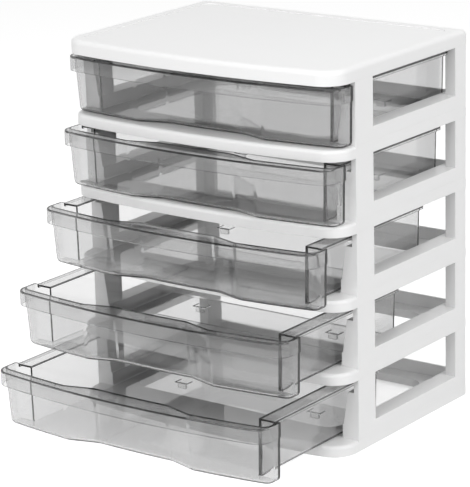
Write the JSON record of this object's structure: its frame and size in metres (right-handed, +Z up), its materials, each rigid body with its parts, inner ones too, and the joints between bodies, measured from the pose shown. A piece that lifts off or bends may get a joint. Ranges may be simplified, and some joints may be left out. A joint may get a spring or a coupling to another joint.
{
  "type": "plastic drawer tower",
  "caption": "Free-standing desktop tower of shallow clear smoky drawers with finger recesses, sliding in a white open-sided plastic frame.",
  "frame": {"origin": "middle of the foot's back edge, on the surface the tower stands on", "axes": "+X to the right seen from the front, +Y to the back, +Z up; the drawers open towards -Y"},
  "size_m": [0.2664, 0.304, 0.312],
  "materials": {
    "white_plastic": "smooth satin moulded plastic",
    "smoky_plastic": "glossy clear smoky moulded plastic"
  },
  "bodies": {
    "frame": {"top_panel": "white_plastic", "tray_1": "white_plastic", "left_side_1": "white_plastic", "right_side_1": "white_plastic", "tray_2": "white_plastic", "left_side_2": "white_plastic", "right_side_2": "white_plastic", "tray_3": "white_plastic", "left_side_3": "white_plastic", "right_side_3": "white_plastic", "tray_4": "white_plastic", "left_side_4": "white_plastic", "right_side_4": "white_plastic", "tray_5": "white_plastic", "left_side_5": "white_plastic", "right_side_5": "white_plastic"},
    "drawer_1": {"drawer_1": "smoky_plastic"},
    "drawer_2": {"drawer_2": "smoky_plastic"},
    "drawer_3": {"drawer_3": "smoky_plastic"},
    "drawer_4": {"drawer_4": "smoky_plastic"},
    "drawer_5": {"drawer_5": "smoky_plastic"}
  },
  "joints": [
    {"name": "drawer_1_slide", "type": "slide", "parent": "frame", "child": "drawer_1", "axis": [0, -1, 0], "range_m": [0, 0.125]},
    {"name": "drawer_2_slide", "type": "slide", "parent": "frame", "child": "drawer_2", "axis": [0, -1, 0], "range_m": [-0.011, 0.114]},
    {"name": "drawer_3_slide", "type": "slide", "parent": "frame", "child": "drawer_3", "axis": [0, -1, 0], "range_m": [-0.0375, 0.0875]},
    {"name": "drawer_4_slide", "type": "slide", "parent": "frame", "child": "drawer_4", "axis": [0, -1, 0], "range_m": [-0.075, 0.05]},
    {"name": "drawer_5_slide", "type": "slide", "parent": "frame", "child": "drawer_5", "axis": [0, -1, 0], "range_m": [-0.103, 0.022]}
  ]
}
